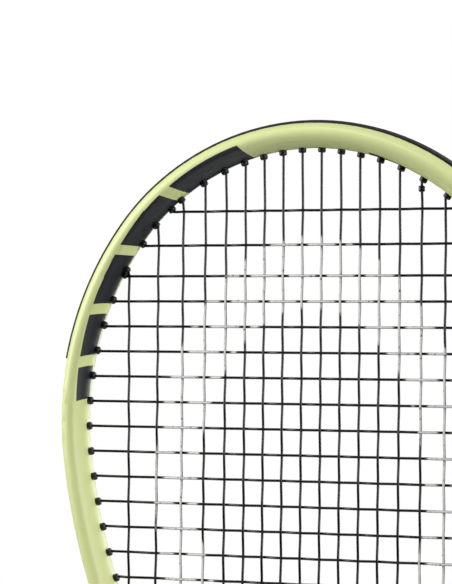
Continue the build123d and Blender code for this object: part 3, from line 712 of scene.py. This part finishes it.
class RACKET_OT_handle(bpy.types.Operator):
    """Finish the tape, the collar, the butt cap and what is inside the handle"""

    bl_idname = "racket.handle"
    bl_label = "Handle fittings"

    def execute(self, context):
        # Calendered vinyl tape: smooth and a little shiny, with shallow ripples where it has stretched.
        give("finishing_tape", plain_material("satin_vinyl_tape", "#101011", 0.32, ior=1.54, grain=2 * MM))
        # Moulded natural rubber: matt and dusty, hardly any shine.
        give("rubber_collar", plain_material("matt_moulded_rubber", "#0D0D0E", 0.62, ior=1.52))
        # Moulded nylon: dull black, with the door a shade lighter because it comes from another mould.
        give("butt_cap", plain_material("moulded_nylon_cap", "#131314", 0.48, ior=1.53))
        give("trap_door", plain_material("moulded_nylon_door", "#1C1C1E", 0.45, ior=1.53))
        # Blasted aluminium: a pale grey metal whose mirror is broken up by a grain, drawn coarse to show.
        badge = plain_material("blasted_aluminium", "#C9CACC", 0.28, metallic=1.0, grain=0.3 * MM)
        give("door_badge", badge)
        # Drawn steel wire with zinc plating: bluish grey and half bright.
        give("cap_staples", plain_material("zinc_plated_wire", "#A9ACB0", 0.35, metallic=1.0))
        # Moulded polyurethane foam: straw coloured and chalky, with a pitted skin.
        foam = plain_material("moulded_polyurethane_foam", "#A79F86", 0.8, grain=0.9 * MM, relief=0.15 * MM)
        for node in ("pallet_front", "pallet_back", "leg_plugs"):
            give(node, foam)
        # Cast lead: a dark, soft grey metal without any polish.
        give("balance_weights", plain_material("cast_lead", "#54575B", 0.55, metallic=1.0))
        return {"FINISHED"}


# ---- dampener ------------------------------------------------------------------------------------------
class RACKET_OT_dampener(bpy.types.Operator):
    """Finish the vibration dampener on the two centre mains"""

    bl_idname = "racket.dampener"
    bl_label = "Vibration dampener"

    def execute(self, context):
        # Moulded silicone rubber: soft black with a slightly waxy sheen.
        give("vibration_dampener", plain_material("moulded_silicone_rubber", "#17181A", 0.42, ior=1.43))
        # Moulded ABS from a polished mould: the frame's colour, with a clear gloss.
        badge = plain_material("gloss_moulded_abs", "#D8E09D", 0.2, ior=1.54, relief=0.004 * MM)
        give("dampener_badge", badge)
        return {"FINISHED"}


# ---- stage ---------------------------------------------------------------------------------------------
def floor_material(s):
    # Emulsion on board: plain, pale and matt, with a very faint unevenness.
    material, tree, place = start_material("matt_painted_floor")
    drift = add_node(tree, "TexNoise", {"Vector": place, "Scale": 1 / 0.3, "Detail": 3.0})
    base = add_node(
        tree, "Mix", {0: drift.outputs["Fac"], 6: linear(s.floor_colour), 7: linear("#EDEDEB")},
        data_type="RGBA",
    )
    return close_material(material, {"Base Color": base.outputs[2], "Roughness": 0.85})


def soft_box(name, place, target, size, power):
    """A rectangular light that faces its target."""
    light = bpy.data.lights.new(name, "AREA")
    light.shape = "RECTANGLE"
    light.size, light.size_y = size
    light.energy = power
    lamp = bpy.data.objects.new(name, light)
    lamp.location = place
    lamp.rotation_euler = (target - place).to_track_quat("-Z", "Y").to_euler()
    bpy.context.scene.collection.objects.link(lamp)


def make_world():
    """White behind the object, and only a dim light of its own, which comes from above."""
    world = bpy.data.worlds.new("studio")
    world.use_nodes = True
    tree = world.node_tree
    tree.nodes.clear()
    direction = add_node(tree, "TexCoord").outputs["Generated"]
    parts = add_node(tree, "SeparateXYZ", {"Vector": direction})
    height = add_node(tree, "Math", {0: parts.outputs["Z"], 1: 0.5, 2: 0.5}, operation="MULTIPLY_ADD")
    ramp = add_node(tree, "ValToRGB", {0: height.outputs[0]})
    dark, pale = ramp.color_ramp.elements
    dark.position = 0.42
    dark.color = (0.01, 0.01, 0.01, 1)
    pale.position = 0.75
    pale.color = (0.16, 0.16, 0.16, 1)
    seen = add_node(tree, "LightPath").outputs["Is Camera Ray"]
    tone = add_node(tree, "Mix", {0: seen, 6: ramp.outputs["Color"], 7: (1, 1, 1, 1)}, data_type="RGBA")
    back = add_node(tree, "Background", {"Color": tone.outputs[2]})
    add_node(tree, "OutputWorld", {"Surface": back.outputs["Background"]})
    return world


class RACKET_OT_stage(bpy.types.Operator):
    """Lay the floor, hang the lights and set up the camera"""

    bl_idname = "racket.stage"
    bl_label = "Stage"

    def execute(self, context):
        s = context.scene.racket_stage
        bm = bmesh.new()
        bmesh.ops.create_circle(bm, cap_ends=True, segments=96, radius=s.floor_radius)
        bmesh.ops.translate(bm, verts=bm.verts, vec=(0, 0, cad_box[0][2] - 0.2 * MM))
        new_piece("floor", bm, floor_material(s), smooth=False)
        middle = Vector((0, 0, widest_z))
        for name, offset, size, power in (  # offset from the hoop's middle, and width and height
            ("left_soft_box", (-0.85, -0.38, 0.30), (0.5, 0.7), s.left_power),
            ("right_soft_box", (1.6, -0.50, 0.36), (0.8, 1.0), s.right_power),
            ("back_soft_box", (0.3, 1.3, 0.25), (1.0, 1.0), s.back_power),
            ("overhead_soft_box", (-0.1, -0.20, 1.05), (0.7, 0.4), s.top_power),
        ):
            soft_box(name, middle + Vector(offset), middle, size, power)
        context.scene.world = make_world()
        context.scene.view_settings.view_transform = "Standard"
        camera = bpy.data.cameras.new("camera")
        camera.lens = s.lens
        camera.sensor_width = 36
        eye = bpy.data.objects.new("camera", camera)
        eye.location = s.camera
        pitch, roll, azimuth = s.turn
        look = Euler((pitch, 0, azimuth)).to_matrix() @ Euler((0, 0, roll)).to_matrix()
        eye.rotation_euler = look.to_euler()
        context.scene.collection.objects.link(eye)
        context.scene.camera = eye
        return {"FINISHED"}


# ---- panel and registration ----------------------------------------------------------------------------
OPERATORS = (
    RACKET_OT_strings,
    RACKET_OT_frame,
    RACKET_OT_trim,
    RACKET_OT_grip,
    RACKET_OT_handle,
    RACKET_OT_dampener,
    RACKET_OT_stage,
)
SETTINGS = {
    "racket_strings": StringSettings,
    "racket_paint": PaintSettings,
    "racket_grip": GripSettings,
    "racket_stage": StageSettings,
}


class RACKET_PT_looks(bpy.types.Panel):
    """Lists the racket's operators and settings"""

    bl_idname = "RACKET_PT_looks"
    bl_label = "Tennis racket"
    bl_space_type = "VIEW_3D"
    bl_region_type = "UI"
    bl_category = "Racket"

    def draw(self, context):
        for operator in OPERATORS:
            self.layout.operator(operator.bl_idname)
        for name, group in SETTINGS.items():
            box = self.layout.box()
            box.label(text=group.__doc__)
            for key in group.__annotations__:
                box.prop(getattr(context.scene, name), key)


def register():
    for name, group in SETTINGS.items():
        bpy.utils.register_class(group)
        setattr(bpy.types.Scene, name, bpy.props.PointerProperty(type=group))
    for cls in OPERATORS + (RACKET_PT_looks,):
        bpy.utils.register_class(cls)


def unregister():
    for cls in reversed(OPERATORS + (RACKET_PT_looks,)):
        bpy.utils.unregister_class(cls)
    for name, group in SETTINGS.items():
        delattr(bpy.types.Scene, name)
        bpy.utils.unregister_class(group)


def main():
    register()
    bpy.ops.racket.strings()
    bpy.ops.racket.frame()
    bpy.ops.racket.trim()
    bpy.ops.racket.grip()
    bpy.ops.racket.handle()
    bpy.ops.racket.dampener()
    bpy.ops.racket.stage()


if __name__ == "__main__":
    main()
